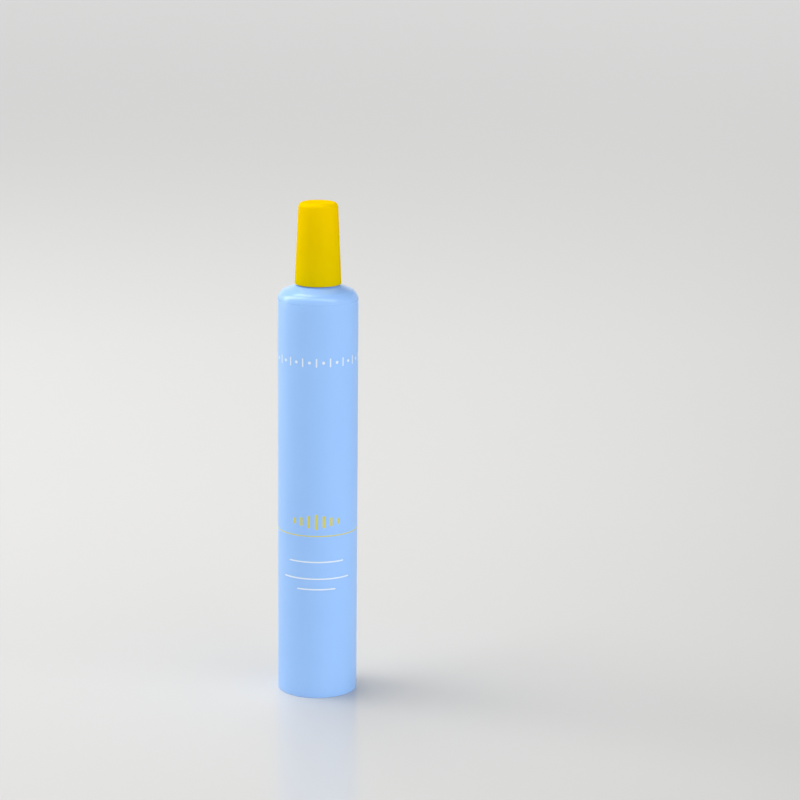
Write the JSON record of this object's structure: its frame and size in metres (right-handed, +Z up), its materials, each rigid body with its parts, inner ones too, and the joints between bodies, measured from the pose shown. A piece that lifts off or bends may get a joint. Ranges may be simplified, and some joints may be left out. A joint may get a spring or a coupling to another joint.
{
  "type": "squeeze tube",
  "caption": "Slim round squeeze tube on its open end: thin sleeve, sloped shoulder, long tapered nozzle, and a tapered screw cap that turns and lifts off.",
  "frame": {"origin": "middle of the open rim that the tube stands on, in the plane of the rim", "axes": "+Z up along the tube's axis towards the cap; -Y towards the viewer of the picture, +X to the viewer's right"},
  "size_m": [0.022, 0.022, 0.1371],
  "materials": {
    "sleeve_plastic": "satin extruded polyethylene, pale sky blue, with printed marks",
    "head_plastic": "satin moulded polyethylene, pale sky blue",
    "cap_plastic": "satin moulded polypropylene, warm yellow",
    "wad_foam": "soft white polyethylene foam"
  },
  "bodies": {
    "tube": {"tube_sleeve": "sleeve_plastic", "tube_head": "head_plastic"},
    "wad": {"seal_wad": "wad_foam"},
    "cap": {"screw_cap": "cap_plastic"}
  },
  "joints": [
    {"name": "cap_lift", "type": "slide", "parent": "tube", "child": "wad", "axis": [0, 0, 1], "range_m": [0, 0.0216]},
    {"name": "cap_turn", "type": "hinge", "parent": "wad", "child": "cap", "pos_m": [0, 0, 0.125], "axis": [0, 0, 1], "range_deg": [0, 6480]}
  ],
  "couplings": [
    {"joint": "cap_turn", "follows": "cap_lift", "rad_per_m": 5236}
  ]
}
